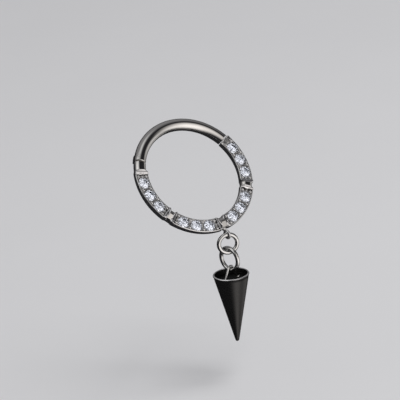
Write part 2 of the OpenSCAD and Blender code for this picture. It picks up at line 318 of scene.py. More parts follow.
class RingPlan:
    """Places and angles on the ring, in millimetres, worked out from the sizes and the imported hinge"""

    def __init__(self, scene):
        self.size = size = in_mm(scene.ring_sizes)
        self.r = (size.inner_d + size.wire_d) / 2
        self.wire_r = size.wire_d / 2
        face = -Vector(joint("ring_hinge")["axis"])
        self.in_place = Matrix.Rotation(math.atan2(-face.y, face.z), 4, "X") @ moved(0, -self.r)
        pin = self.in_place.inverted() @ joint_place("ring_hinge")
        self.pin_r = pin.xy.length
        self.pin = math.atan2(pin.y, pin.x) - TURN
        self.clasp = self.panel_end(size.panel_count - 1, -1)
        self.hinge = self.panel_end(0, 1) - size.stub_span
        self.hinge_seam = size.hinge_seam / self.r
        self.knuckle_r = self.r + self.wire_r + size.tongue_proud - self.pin_r

    def panel_middle(self, k):
        """Angle of panel k's middle"""
        size = self.size
        row = k - (size.panel_count - 1) / 2
        return size.panels_at + row * size.panel_pitch + math.copysign(size.lug_room / 2, row)

    def panel_end(self, k, lead):
        """Angle of a panel's end: lead is 1 at its start and -1 at its end"""
        outer = k == 0 if lead > 0 else k == self.size.panel_count - 1
        half = self.size.panel_span / 2 + (self.size.end_run if outer else 0)
        return self.panel_middle(k) - lead * half

    def flare(self, k, lead):
        """Angles at which a flare starts on the wire and ends at its panel's rim"""
        end = self.panel_end(k, lead)
        out = 0 if end == self.clasp else self.size.flare_out
        return end - lead * out, end + lead * self.size.flare_in

    def flat_lean(self, gap):
        """How far the wire's flat front leans outwards in the gap before a panel"""
        return self.size.flat_lean if 0 < gap < self.size.panel_count - 1 else 0.0

    def stone_angle(self, i):
        """Angle of stone i, counted from the hinge"""
        size = self.size
        panel, seat = divmod(i, size.stones_each)
        return self.panel_middle(panel) + (seat - (size.stones_each - 1) / 2) * size.stone_pitch

    def at(self, turn, radius, height=0.0):
        """A place on the ring: X points outwards, Y on around the ring and Z out of its face"""
        return self.in_place @ spun(turn) @ moved(radius, 0, height)

    def stations(self, turns):
        """Places for sections across the ring: X points outwards and Y out of its face"""
        return hoop(self.in_place, self.r, turns)


def disc(radius, count, start=0.0, end=TURN):
    """Points on a circle or, with its two angles, on an arc"""
    turns = steps(start, end, count)
    if end - start == TURN:
        turns.pop()
    return [(radius * math.cos(t), radius * math.sin(t)) for t in turns]


def oblong(low, high):
    """Outline of a rectangle between two corners"""
    return [(low[0], low[1]), (high[0], low[1]), (high[0], high[1]), (low[0], high[1])]


def rows(stations, outlines):
    """Sets an outline, or one for each station, at its stations"""
    if not isinstance(outlines[0], list):
        outlines = [outlines] * len(stations)
    return [[place @ Vector((u, v, 0)) for u, v in outline] for place, outline in zip(stations, outlines)]


def swept(stations, outlines):
    """A closed shell along stations, with a face over each end"""
    return rows(stations, outlines), False


def looped(stations, outlines):
    """A closed shell along stations that run back to the first"""
    return rows(stations, outlines), True


def turned(place, outline, count):
    """A closed shell turned about the Z axis of a place from points at a radius and a height"""
    lines = [place @ spun(turn) for turn in steps(0, TURN, count)[:-1]]
    return [[line @ Vector((r, 0, z)) for r, z in outline] for line in lines], True


def block(place, low, high):
    """A block between two corners"""
    return swept([place @ moved(0, 0, z) for z in (low[2], high[2])], oblong(low, high))


def rod(place, radius, low, high, count, soft=0.0):
    """A round rod along the Z axis of a place, with its edges eased by a small amount"""
    if not soft:
        return turned(place, [(0, low), (radius, low), (radius, high), (0, high)], count)
    ease = disc(soft, 4, -TURN / 4, 0)
    outline = [(0, low)] + [(radius - soft + u, low + soft + v) for u, v in ease]
    outline += [(radius - soft + u, high - soft - v) for u, v in reversed(ease)] + [(0, high)]
    return turned(place, outline, count)


def solid(name, *shells):
    """An object in millimetres, made of closed shells"""
    form = bmesh.new()
    for lines, closes in shells:
        made = [[form.verts.new(p) for p in line] for line in lines]
        pairs = list(zip(made, made[1:]))
        if closes:
            pairs.append((made[-1], made[0]))
        else:
            form.faces.new(made[0])
            form.faces.new(made[-1])
        for low, high in pairs:
            for k in range(len(low)):
                form.faces.new((low[k - 1], low[k], high[k], high[k - 1]))
    bmesh.ops.remove_doubles(form, verts=form.verts[:], dist=1e-6)
    bare = [edge for edge in form.edges if not edge.link_faces]
    bmesh.ops.delete(form, geom=bare, context="EDGES")
    return placed(name, form)


def placed(name, form):
    """Turns a finished form into an object"""
    bmesh.ops.recalc_face_normals(form, faces=form.faces[:])
    data = bpy.data.meshes.new(name)
    form.to_mesh(data)
    form.free()
    made = bpy.data.objects.new(name, data)
    bpy.context.scene.collection.objects.link(made)
    return made


def settle(piece):
    """Takes a piece's modifiers into its mesh"""
    bpy.context.view_layer.update()
    seen = piece.evaluated_get(bpy.context.evaluated_depsgraph_get())
    data = bpy.data.meshes.new_from_object(seen)
    old = piece.data
    piece.modifiers.clear()
    piece.data = data
    bpy.data.meshes.remove(old)


def shape_with(piece, operation, *shells):
    """Cuts away, adds or keeps a solid made of shells, one after another"""
    for shell in shells:
        tool = solid("tool", shell)
        change = piece.modifiers.new("shape", "BOOLEAN")
        change.operation = operation
        change.solver = "MANIFOLD"
        change.object = tool
        settle(piece)
        data = tool.data
        bpy.data.objects.remove(tool)
        bpy.data.meshes.remove(data)


def ease_edges(piece, width, segments=2, weigh=False):
    """Rounds a piece's sharp edges by a small width, and may weigh its normals by the faces' sizes"""
    bevel = piece.modifiers.new("edges", "BEVEL")
    bevel.width = width
    bevel.segments = segments
    bevel.limit_method = "ANGLE"
    bevel.angle_limit = math.radians(CREASE)
    bevel.use_clamp_overlap = True
    bevel.miter_outer = "MITER_ARC"
    settle(piece)
    if weigh:
        piece.data.shade_smooth()
        normals = piece.modifiers.new("normals", "WEIGHTED_NORMAL")
        normals.keep_sharp = True
        settle(piece)


def finish_piece(piece, body, finish, nodes=(), crease=CREASE):
    """Brings a piece to metres, smooths it, gives it its finish and body, and hides the imported parts that
    it stands in for
    """
    piece.data.transform(Matrix.Scale(1 / MM, 4))
    if crease:
        piece.data.shade_smooth()
        piece.data.set_sharp_from_angle(angle=math.radians(crease))
    piece.data.materials.clear()
    piece.data.materials.append(finish)
    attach(piece, body)
    if nodes:
        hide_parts(*nodes)


class Value:
    """A shader socket that takes part in Python arithmetic"""

    def __init__(self, nodes, socket):
        self.nodes = nodes
        self.socket = socket

    def math(self, operation, *others):
        """A Math node of this value and others"""
        return self.nodes.add("Math", {"operation": operation}, dict(enumerate((self, *others))))

    def __add__(self, other):
        return self.math("ADD", other)

    def __sub__(self, other):
        return self.math("SUBTRACT", other)

    def __rsub__(self, other):
        return self.nodes.add("Math", {"operation": "SUBTRACT"}, {0: other, 1: self})

    def __mul__(self, other):
        return self.math("MULTIPLY", other)

    def __truediv__(self, other):
        return self.math("DIVIDE", other)

    __radd__ = __add__
    __rmul__ = __mul__


class Nodes:
    """A node tree that is filled from Python expressions"""

    def __init__(self, tree):
        self.tree = tree
        tree.nodes.clear()

    def add(self, kind, settings=None, sockets=None, output=0):
        """Adds a node: its settings first, then the values or links of its sockets"""
        node = self.tree.nodes.new("ShaderNode" + kind)
        for name, value in (settings or {}).items():
            setattr(node, name, value)
        for name, value in (sockets or {}).items():
            if isinstance(value, Value):
                self.tree.links.new(value.socket, node.inputs[name])
            else:
                node.inputs[name].default_value = value
        return Value(self, node.outputs[output]) if node.outputs else node

    def split(self, vector):
        """The three numbers of a vector"""
        node = self.tree.nodes.new("ShaderNodeSeparateXYZ")
        self.tree.links.new(vector.socket, node.inputs[0])
        return [Value(self, out) for out in node.outputs]

    def join(self, x, y, z):
        """A vector of three numbers"""
        return self.add("CombineXYZ", sockets={0: x, 1: y, 2: z})

    def noise(self, vector, scale, detail=2.0, rough=0.5):
        """Soft noise from 0 to 1"""
        return self.add("TexNoise", sockets={"Vector": vector, "Scale": scale, "Detail": detail,
                                             "Roughness": rough})

    def ease(self, value, low, high, start=0.0, end=1.0):
        """Runs smoothly from start to end while a value goes from low to high"""
        return self.add("MapRange", {"interpolation_type": "SMOOTHSTEP"},
                        {0: value, 1: low, 2: high, 3: start, 4: end})

    def mix(self, part, first, second):
        """A colour between two, of which each may be fixed or linked"""
        pair = [c if isinstance(c, Value) else (*c[:3], 1) for c in (first, second)]
        return self.add("Mix", {"data_type": "RGBA"}, {0: part, 6: pair[0], 7: pair[1]}, output=2)


def new_finish(name):
    """An empty material and its nodes"""
    finish = bpy.data.materials.new(name)
    finish.use_nodes = True
    return finish, Nodes(finish.node_tree)


def shade(nodes, surface):
    """Ends a material's nodes in its output"""
    nodes.add("OutputMaterial", sockets={"Surface": surface})


def darker(tint, part):
    """A colour scaled towards black"""
    return tuple(c * part for c in tint)


def polished_metal(name, tint, rough, place, streak, marks=1.0, metallic=1.0, layers=()):
    """Polished steel with faint streaks from polishing, smudges and a few fine marks, made once.
    place takes the piece's own millimetres to the model's, and streak turns a point into the streaks'
    vector. Each layer has a mask of a point, a colour there, and what it adds to the roughness."""
    if name in bpy.data.materials:
        return bpy.data.materials[name]
    finish, nodes = new_finish(name)
    local = nodes.add("Mapping", {"vector_type": "TEXTURE"},
                      {"Vector": nodes.add("TexCoord", output=3), "Location": place.to_translation() / MM,
                       "Rotation": place.to_euler(), "Scale": (1 / MM, 1 / MM, 1 / MM)})
    streaks = nodes.noise(streak(nodes, local), scale=1.0, detail=3.0, rough=0.6)
    smudges = nodes.noise(local, scale=0.55, detail=3.0, rough=0.55)
    specks = nodes.ease(nodes.noise(local, scale=4.0), 0.66, 0.74)
    stain = nodes.ease(smudges, 0.5, 0.75, 0.0, 0.35) + 0.25 * specks
    tinted = nodes.mix(stain, tint, darker(tint, 0.8))
    roughness = (rough + 0.07 * marks * (smudges - 0.5) + 0.06 * marks * (streaks - 0.5)
                 + 0.08 * marks * specks)
    for mask, there, rougher in layers:
        part = mask(nodes, local)
        tinted = nodes.mix(part, tinted, there)
        roughness = roughness + rougher * part
    bump = nodes.add("Bump", sockets={"Strength": 0.25, "Distance": 4e-6, "Height": streaks})
    shade(nodes, nodes.add("BsdfPrincipled", sockets={
        "Base Color": tinted, "Metallic": metallic, "Roughness": roughness, "Normal": bump}))
    return finish


def from_axis(x, y):
    """Distance of a point from the Z axis"""
    return (x * x + y * y).math("SQRT")


def along_ring(nodes, point):
    """Streaks that run along the ring"""
    x, y, z = nodes.split(point)
    turn = y.math("ARCTAN2", x)
    radius = from_axis(x, y)
    return nodes.join(turn * 1.6, radius * 9.0, z * 9.0)


def round_spike(nodes, point):
    """Turning marks that run around the upright axis"""
    x, y, z = nodes.split(point)
    turn = y.math("ARCTAN2", x)
    return nodes.join(turn.math("SINE") * 0.25, turn.math("COSINE") * 0.25, z * 16.0)


def all_over(nodes, point):
    """An even, fine texture"""
    return nodes.add("VectorMath", {"operation": "SCALE"}, {0: point, "Scale": 6.0})


def ring_metal(scene):
    """The polish of the plain bar, the stub and the bare wires"""
    look = scene.ring_finishes
    return polished_metal("polished_bar", look.steel, look.polish, RingPlan(scene).in_place, along_ring)


def setting_metal(scene):
    """The panels' softer polish, with painted shade deep in the troughs and a painted highlight on the rims
    """
    look = scene.ring_finishes
    plan = RingPlan(scene)
    size = plan.size
    half = size.trough_w / 2

    def trough(nodes, point):
        x, y, z = nodes.split(point)
        aside = (from_axis(x, y) - plan.r).math("ABSOLUTE")
        # Painted shade, darker the deeper the point lies in the trough
        deep = nodes.ease(z, size.girdle_h, size.face_h - 0.02, 0.8, 0.0)
        return deep * nodes.ease(aside, half - 0.02, half + 0.04, 1.0, 0.0) * nodes.ease(z, 0, 0.05)

    # Painted highlight: the raised rims get a brighter colour
    def rims(nodes, point):
        x, y, z = nodes.split(point)
        return nodes.ease(z, size.brink_h - 0.01, size.rim_h - 0.02)

    # Layers of painted shade in the troughs and of a painted highlight on the rims
    return polished_metal("cut_setting", look.setting, look.setting_polish, plan.in_place, along_ring, 1.3,
                          layers=((trough, darker(look.setting, look.trough_shade), look.dull),
                                  (rims, look.rubbed, -look.bright)))


def link_metal(scene):
    """The jump rings' polish"""
    look = scene.ring_finishes
    return polished_metal("link_polish", look.links, look.link_polish, Matrix.Identity(4), all_over)


def spike_metal(scene):
    """The turned spike's polish, its colour darkened all over as painted shade, with painted shade black in
    the recess and a painted highlight on the rim
    """
    look = scene.ring_finishes
    drop = in_mm(scene.drop_sizes)
    low, high = (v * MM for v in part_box("spike"))
    inner = (high.x - low.x) / 2 - drop.rim_w
    rim_z = -drop.bail_rise
    floor_z = rim_z - drop.recess

    # Painted shade inside the recess
    def recess(nodes, point):
        x, y, z = nodes.split(point)
        inside = nodes.ease(from_axis(x, y), inner - 0.01, inner + 0.01, 1.0, 0.0)
        return inside * nodes.ease(z, floor_z - 0.03, floor_z - 0.02)

    # Painted highlight: the spike's rim gets a brighter colour
    def rim(nodes, point):
        x, y, z = nodes.split(point)
        return nodes.ease(z, rim_z - 0.08, rim_z - 0.05)

    # Painted shade: the spike's colour darkened all over
    tint = darker(look.spike, look.spike_shade)
    # Layers of painted shade in the recess and of a painted highlight on the rim
    return polished_metal("turned_spike", tint, look.spike_polish, moved(*joint_place("spike_swing")),
                          round_spike, metallic=look.spike_metal,
                          layers=((recess, darker(tint, look.recess_shade), look.dull),
                                  (rim, look.rubbed, -look.bright)))


def gem_finish(scene):
    """Clear stone that bends light strongly"""
    look = scene.ring_finishes
    finish, nodes = new_finish("clear_gem")
    shade(nodes, nodes.add("BsdfPrincipled", sockets={
        "Base Color": (*look.stone, 1), "Roughness": 0.0, "IOR": look.stone_index,
        "Transmission Weight": 1.0}))
    return finish


class RING_OT_bar(bpy.types.Operator):
    """Makes the plain bar with its hinge fork and clasp nub"""

    bl_idname = "ring.bar"
    bl_label = "Plain bar"

    def execute(self, context):
        plan = RingPlan(context.scene)
        size = plan.size
        wide = size.wire_d
        start = plan.clasp + size.seam / plan.r
        end = plan.hinge + TURN - plan.hinge_seam
        ease = BAR_END / plan.r
        turns = [start] + steps(start + ease, end - ease, 144) + [end]
        outlines = [disc(plan.wire_r, WIRE_POINTS)] * len(turns)
        outlines[0] = outlines[-1] = disc(plan.wire_r - BAR_END, WIRE_POINTS)
        bar = solid("bar_tube", swept(plan.stations(turns), outlines))
        slot = size.tongue_t / 2 + size.hinge_gap
        open_end = steps(plan.pin + TURN - size.relief_gap / plan.r, plan.hinge + TURN, 12)
        pin = plan.at(plan.pin, plan.pin_r)
        shape_with(bar, "DIFFERENCE",
                   swept(plan.stations(open_end), oblong((-wide, -slot), (wide, slot))),
                   rod(pin, plan.knuckle_r + size.relief_gap, -slot, slot, 72),
                   rod(pin, size.pin_d / 2 + size.pin_gap, -wide, wide, 32))
        nub = plan.at(start, plan.r) @ QUARTER_X
        shape_with(bar, "UNION", rod(nub, size.nub_d / 2, -size.nub_d / 2, size.nub_len, 32, NUB_END))
        ease_edges(bar, BAR_EDGE)
        finish_piece(bar, "bar", ring_metal(context.scene), ["bar"])
        return {"FINISHED"}


class RING_OT_pin(bpy.types.Operator):
    """Makes the hinge pin, whose ends are ground flush with the bar"""

    bl_idname = "ring.pin"
    bl_label = "Hinge pin"

    def execute(self, context):
        plan = RingPlan(context.scene)
        size = plan.size
        place = plan.at(plan.pin, plan.pin_r)
        pin = solid("pin_rivet", rod(place, size.pin_d / 2, -size.wire_d, size.wire_d, 40))
        # As much of the wire on each side as grinds the ends flush, in radians
        beside = 0.26
        wire = plan.stations(steps(plan.pin - beside, plan.pin + beside, 24))
        shape_with(pin, "INTERSECT", swept(wire, disc(plan.wire_r, WIRE_POINTS)))
        finish_piece(pin, "bar", ring_metal(context.scene), ["hinge_pin"])
        return {"FINISHED"}


def wire_section(plan, lean=0.0):
    """Outline of the wire with its flat front, which may lean outwards"""
    flat_h = plan.size.flat_h
    flat = math.asin(flat_h / plan.wire_r)
    wide = plan.wire_r * math.cos(flat)
    under = disc(plan.wire_r, UNDER_POINTS, TURN / 2, TURN)
    side = disc(plan.wire_r, SIDE_POINTS, 0, flat)[1:]
    front = [(u, flat_h) for u in steps(wide, -wide, FACE_POINTS)][1:-1]
    outline = under + side + front + [(-u, v) for u, v in reversed(side)]
    across = math.cos(lean)
    aside = math.sin(lean)
    return [(u * across + v * aside, v * across - u * aside) for u, v in outline]


def panel_section(plan, height):
    """Outline of a panel whose face is at a height, point for point like the wire's"""
    half = plan.size.panel_w / 2
    soft = plan.size.rail_round
    under = disc(half, UNDER_POINTS, TURN / 2, TURN)
    side = [(half, v) for v in steps(0, height - soft, SIDE_POINTS - EDGE_POINTS)][1:]
    side += [(half - soft + u, height - soft + v) for u, v in disc(soft, EDGE_POINTS, 0, TURN / 4)][1:]
    front = [(u, height) for u in steps(half - soft, soft - half, FACE_POINTS)][1:-1]
    return under + side + front + [(-u, v) for u, v in reversed(side)]


def between(first, second, part):
    """Outline part of the way from one to another"""
    return [(a + (c - a) * part, b + (d - b) * part) for (a, b), (c, d) in zip(first, second)]


class RING_OT_stub(bpy.types.Operator):
    """Makes the plain stub with the hinge's tongue"""

    bl_idname = "ring.stub"
    bl_label = "Stub and tongue"

    def execute(self, context):
        plan = RingPlan(context.scene)
        size = plan.size
        outline = wire_section(plan)
        left = 1 - STUB_END / plan.wire_r
        end = [(u * left, v * left) for u, v in outline]
        turns = steps(plan.hinge + STUB_END / plan.r, plan.flare(0, 1)[0], 32)
        stub = solid("stub_tongue", swept(plan.stations([plan.hinge] + turns),
                                          [end] + [outline] * len(turns)))
        half = size.tongue_t / 2
        leaf = plan.stations(steps(plan.pin, plan.hinge + plan.hinge_seam, 16))
        low = (-size.tongue_in, -half)
        high = (plan.wire_r + size.tongue_proud, half)
        pin = plan.at(plan.pin, plan.pin_r)
        shape_with(stub, "UNION", swept(leaf, oblong(low, high)), rod(pin, plan.knuckle_r, -half, half, 72))
        shape_with(stub, "DIFFERENCE",
                   rod(pin, size.pin_d / 2 + size.hinge_gap, -size.wire_d, size.wire_d, 32))
        ease_edges(stub, FINE_EDGE)
        finish_piece(stub, "stone_half", ring_metal(context.scene), ["stone_half"],
                     crease=20)
        return {"FINISHED"}


def trough_section(size, floor):
    """Outline of the bright-cut trough, down to a floor"""
    half = size.trough_w / 2
    inner = half - size.trough_slope
    brim = max(size.face_h, floor)
    top = size.rim_h + TROUGH_CLEAR
    return [(-half, top), (-half, brim), (-inner, floor), (inner, floor), (half, brim), (half, top)]


def seat_shell(plan, turn):
    """The round seat of a stone with its cone below"""
    size = plan.size
    wide = size.stone_d / 2 + size.seat_gap
    low = size.girdle_h - SEAT_WALL
    top = size.face_h + SEAT_CLEAR
    outline = [(0, low - size.stone_d / 2), (wide, low), (wide, top), (0, top)]
    return turned(plan.at(turn, plan.r), outline, 48)


class RING_OT_panels(bpy.types.Operator):
    """Makes the stone-set panels with their bright-cut troughs, seats and grains"""

    bl_idname = "ring.panels"
    bl_label = "Stone panels"

    def execute(self, context):
        plan = RingPlan(context.scene)
        size = plan.size
        metal = setting_metal(context.scene)
        for k in range(size.panel_count):
            panel = solid(f"panel_{k + 1}", self.body(plan, k))
            shape_with(panel, "DIFFERENCE", self.trough(plan, k), *self.slots(plan, k))
            stones = range(k * size.stones_each, (k + 1) * size.stones_each)
            shape_with(panel, "DIFFERENCE", *[seat_shell(plan, plan.stone_angle(i)) for i in stones])
            if k == size.panel_count - 1:
                shape_with(panel, "DIFFERENCE", self.pocket(plan))
            ease_edges(panel, FINE_EDGE, segments=1, weigh=True)
            finish_piece(panel, "stone_half", metal, crease=0)
            self.grains(plan, k, metal)
        return {"FINISHED"}

    def body(self, plan, k):
        """A flat-faced panel with a raised rim and a flare down to the wire at each end"""
        size = plan.size
        face = panel_section(plan, size.face_h)
        middle = plan.panel_middle(k)
        reach = size.trough_span / 2
        inside = reach - size.brink_run
        sections = []
        for lead in (1, -1):
            first, last = plan.flare(k, lead)
            plain = first == plan.clasp
            wire = wire_section(plan, plan.flat_lean(k if lead > 0 else k + 1))
            rim = panel_section(plan, (size.face_h + size.brink_h) / 2 if plain else size.rim_h)
            brink = panel_section(plan, size.face_h if plain else size.brink_h)
            flare = [(first + (last - first) * t, between(wire, rim, math.sin(t * TURN / 4)))
                     for t in steps(0, 1, 1 if plain else 6)]
            flare.append((middle - lead * reach, brink))
            if lead > 0:
                flare += [(turn, face) for turn in steps(middle - inside, middle + inside, PANEL_STEPS)]
            else:
                flare.reverse()
            sections += flare
        turns, outlines = zip(*sections)
        return swept(plan.stations(turns), outlines)

    def trough(self, plan, k):
        """The bright-cut trough, which ramps up at its ends"""
        size = plan.size
        middle = plan.panel_middle(k)
        start = middle - size.trough_span / 2
        last = middle + size.trough_span / 2
        ramp = TROUGH_RAMP / plan.r
        turns = [start] + steps(start + ramp, last - ramp, PANEL_STEPS) + [last]
        deep = trough_section(size, size.girdle_h + TROUGH_FLOOR)
        end = trough_section(size, size.brink_h - TROUGH_END)
        return swept(plan.stations(turns), [end] + [deep] * (PANEL_STEPS + 1) + [end])

    def slots(self, plan, k):
        """Two deep cuts at each end of the trough, with a ridge between them"""
        size = plan.size
        outer = size.trough_w / 2
        inner = outer - size.slot_w
        half = size.slot_len / 2
        low_z = size.face_h - size.slot_depth
        high_z = size.face_h + size.wire_d
        cuts = []
        for lead in (-1, 1):
            turn = plan.panel_middle(k) + lead * (size.trough_span / 2 - half / plan.r)
            for low, high in ((-outer, -inner), (inner, outer)):
                cuts.append(block(plan.at(turn, plan.r), (low, -half, low_z), (high, half, high_z)))
        return cuts

    def pocket(self, plan):
        """The clasp's pocket, open to the outside for the nub's swing"""
        size = plan.size
        wide = size.nub_d / 2 + size.pocket_gap
        return block(plan.at(plan.clasp, plan.r), (-wide, -size.nub_len - size.pocket_gap, -wide),
                     (wide + size.pocket_out, size.nub_len, wide))

    def grains(self, plan, k, metal):
        """The raised grains of metal that hold one panel's stones, and one more at each trough's end"""
        size = plan.size
        ball = [(math.sin(t), -math.cos(t)) for t in steps(0, TURN / 2, 12)]
        beads = []
        for row in range(size.stones_each + 1):
            turn = plan.panel_middle(k) + (row - size.stones_each / 2) * size.stone_pitch
            spots = [(aside, size.grain_low, size.grain) for aside in (-size.grain_off, size.grain_off)]
            if row in (0, size.stones_each):
                spots.append((0, size.end_grain_low, size.end_grain))
            for aside, deep, half in spots:
                place = plan.at(turn, plan.r + aside, size.face_h - deep)
                beads.append(turned(place @ Matrix.Diagonal((*half, 1)), ball, 20))
        made = solid(f"grains_{k + 1}", *beads)
        finish_piece(made, "stone_half", metal, crease=60)


class RING_OT_necks(bpy.types.Operator):
    """Makes the bare lengths of wire between the panels"""

    bl_idname = "ring.necks"
    bl_label = "Bare wires"

    def execute(self, context):
        plan = RingPlan(context.scene)
        for k in range(1, plan.size.panel_count):
            turns = steps(plan.flare(k - 1, -1)[0], plan.flare(k, 1)[0], 16)
            neck = solid(f"neck_{k}", swept(plan.stations(turns), wire_section(plan, plan.flat_lean(k))))
            finish_piece(neck, "stone_half", ring_metal(context.scene), crease=20)
        return {"FINISHED"}


class RING_OT_lug(bpy.types.Operator):
    """Makes the lug's eye on its soldered foot"""

    bl_idname = "ring.lug"
    bl_label = "Lug"

    def execute(self, context):
        plan = RingPlan(context.scene)
        drop = in_mm(context.scene.drop_sizes)
        turn = plan.size.lug_angle
        eye_r = (drop.eye_d - drop.eye_wire) / 2
        eye = hoop(plan.at(turn, drop.eye_at) @ QUARTER_X, eye_r, steps(0, TURN, 72)[:-1])
        low = plan.r + drop.foot_in
        high = drop.eye_at - eye_r
        outline = [(0, low)]
        for out in steps(low, high, 16):
            bare = max(0, out - plan.r - plan.wire_r)
            outline.append((drop.foot_d / 2 + drop.solder * math.exp(-(bare / drop.solder) ** 2), out))
        outline.append((0, high))
        foot = turned(plan.at(turn, 0) @ Matrix.Rotation(TURN / 4, 4, "Y"), outline, 40)
        lug = solid("lug_eye", looped(eye, disc(drop.eye_wire / 2, 24)), foot)
        finish_piece(lug, "stone_half", setting_metal(context.scene), crease=60)
        return {"FINISHED"}


def brilliant(name, radius, place):
    """A round brilliant with its girdle at the place's origin and its table up the place's Z"""
    wide = 2 * radius
    table = 0.56 * radius
    star = 0.78 * radius
    low = 0.22 * radius
    crown_z = 0.15 * wide
    girdle_z = 0.0175 * wide
    culet_z = -girdle_z - 0.43 * wide
    eighth = TURN / 8
    tip = math.cos(eighth / 2)
    star_z = girdle_z + crown_z * (1 - (star * tip - table) / (radius - table))
    low_z = culet_z - (culet_z + girdle_z) * low * tip / radius
    form = bmesh.new()

    def circle(r, z, count, turn=0.0):
        turns = [t + turn for t in steps(0, TURN, count)[:-1]]
        return [form.verts.new(place @ Vector((r * math.cos(t), r * math.sin(t), z))) for t in turns]

    tables = circle(table, girdle_z + crown_z, 8)
    stars = circle(star, star_z, 8, eighth / 2)
    uppers = circle(radius, girdle_z, 16)
    lowers = circle(radius, -girdle_z, 16)
    pavilion = circle(low, low_z, 8, eighth / 2)
    culet = form.verts.new(place @ Vector((0, 0, culet_z)))
    form.faces.new(tables)
    for k in range(8):
        after = (k + 1) % 8
        form.faces.new((tables[k], tables[after], stars[k]))
        form.faces.new((tables[k], stars[k], uppers[2 * k], stars[k - 1]))
        form.faces.new((stars[k], uppers[2 * k + 1], uppers[2 * k]))
        form.faces.new((stars[k], uppers[2 * after], uppers[2 * k + 1]))
        form.faces.new((pavilion[k], lowers[2 * k], lowers[2 * k + 1]))
        form.faces.new((pavilion[k], lowers[2 * k + 1], lowers[2 * after]))
        form.faces.new((culet, pavilion[k - 1], lowers[2 * k], pavilion[k]))
    for k in range(16):
        form.faces.new((uppers[k - 1], uppers[k], lowers[k], lowers[k - 1]))
    return placed(name, form)


class RING_OT_gems(bpy.types.Operator):
    """Makes the round brilliants, each turned differently in its seat"""

    bl_idname = "ring.gems"
    bl_label = "Stones"

    def execute(self, context):
        plan = RingPlan(context.scene)
        size = plan.size
        finish = gem_finish(context.scene)
        for i in range(size.panel_count * size.stones_each):
            place = plan.at(plan.stone_angle(i), plan.r, size.girdle_h) @ spun(math.radians(17 * i % 45))
            gem = brilliant(f"gem_{i + 1:02d}", size.stone_d / 2, place)
            finish_piece(gem, "stone_half", finish, [f"stone_{i + 1:02d}"], crease=0)
        return {"FINISHED"}


class RING_OT_links(bpy.types.Operator):
    """Makes the two jump rings, each with the fine seam where it closes"""

    bl_idname = "ring.links"
    bl_label = "Jump rings"

    def execute(self, context):
        drop = in_mm(context.scene.drop_sizes)
        metal = link_metal(context.scene)
        wire_r = drop.link_wire / 2
        # Angle of the seam, and from it to the full wire, in radians
        seam = 0.4
        beside = 0.012
        sections = [(turn, wire_r) for turn in steps(0, TURN, 120)[:-1]]
        sections += [(seam - beside, wire_r), (seam, wire_r * 0.93), (seam + beside, wire_r)]
        turns, radii = zip(*sorted(sections))
        for node, turn in (("upper_link", drop.upper_turn), ("lower_link", drop.lower_turn)):
            low, high = (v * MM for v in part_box(node))
            upright = moved(*(low + high) / 2) @ spun(turn) @ QUARTER_X
            stations = hoop(upright, (high.z - low.z - drop.link_wire) / 2, turns)
            link = solid(node.replace("link", "jump_ring"), looped(stations, [disc(r, 32) for r in radii]))
            finish_piece(link, node, metal, [node], crease=60)
        return {"FINISHED"}


class RING_OT_spike(bpy.types.Operator):
    """Makes the turned cone with its recessed top and its wire bail"""

    bl_idname = "ring.spike"
    bl_label = "Spike"

    def execute(self, context):
        drop = in_mm(context.scene.drop_sizes)
        pivot = joint_place("spike_swing")
        rim = moved(pivot.x, pivot.y, pivot.z - drop.bail_rise)
        cone = solid("spike_cone", turned(rim, self.profile(drop, pivot), 144))
        finish_piece(cone, "spike", spike_metal(context.scene), ["spike"], crease=40)
        bail = solid("spike_bail", self.bail(drop, pivot))
        finish_piece(bail, "spike", link_metal(context.scene), crease=60)
        return {"FINISHED"}

    def profile(self, drop, pivot):
        """The cone's outline from its tip over the rim to the recess's floor, with the rim at height 0"""
        low, high = (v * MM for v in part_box("spike"))
        base_r = (high.x - low.x) / 2
        tip_r = drop.tip_d / 2
        tall = pivot.z - drop.bail_rise - low.z - tip_r
        lean = math.atan((base_r - tip_r) / tall)
        ball = [(tip_r * math.sin(t), -tall - tip_r * math.cos(t)) for t in steps(0, TURN / 4 - lean, 10)]
        side = [tuple(Vector(ball[-1]).lerp((base_r, 0), t)) for t in steps(0.04, 0.98, 24)]
        ease = drop.rim_ease
        rim = [(base_r - ease + u, v - ease) for u, v in disc(ease, 4, 0, TURN / 4)]
        inner = base_r - drop.rim_w
        ease = drop.lip_ease
        lip = [(inner + ease + u, v - ease) for u, v in disc(ease, 4, TURN / 4, TURN / 2)]
        ease = drop.fillet
        corner = [(inner - ease + u, ease - drop.recess + v) for u, v in disc(ease, 6, -TURN / 4, 0)]
        return ball + side + rim + lip + corner[::-1] + [(0, -drop.recess)]

    def bail(self, drop, pivot):
        """A wire arc with two splayed legs, whose feet are soldered to the recess's floor"""
        plane = moved(*pivot) @ spun(drop.lower_turn + TURN / 4) @ QUARTER_X
        splay = drop.bail_splay
        leg = (drop.bail_r * math.sin(splay) + drop.bail_rise + drop.recess) / math.cos(splay)
        wire_r = drop.bail_wire / 2
        # The legs' rings start a little off the arc's ends
        down = [(t, wire_r + drop.solder * max(0, (t - leg) / drop.solder_run + 1) ** 2)
                for t in steps(0.05, leg, 24)]
        sections = [(spun(TURN / 2 - splay) @ moved(drop.bail_r, t), r) for t, r in reversed(down)]
        sections += [(spun(t) @ moved(drop.bail_r), wire_r) for t in steps(TURN / 2 - splay, splay, 24)]
        sections += [(spun(splay) @ moved(drop.bail_r, -t), r) for t, r in down]
        return swept([plane @ place @ QUARTER_X for place, r in sections],
                     [disc(r, 28) for place, r in sections])


def facing(turn, rise):
    """The direction at a turn from the front and a rise over the horizon"""
    return Vector((math.sin(turn) * math.cos(rise), -math.cos(turn) * math.cos(rise), math.sin(rise)))


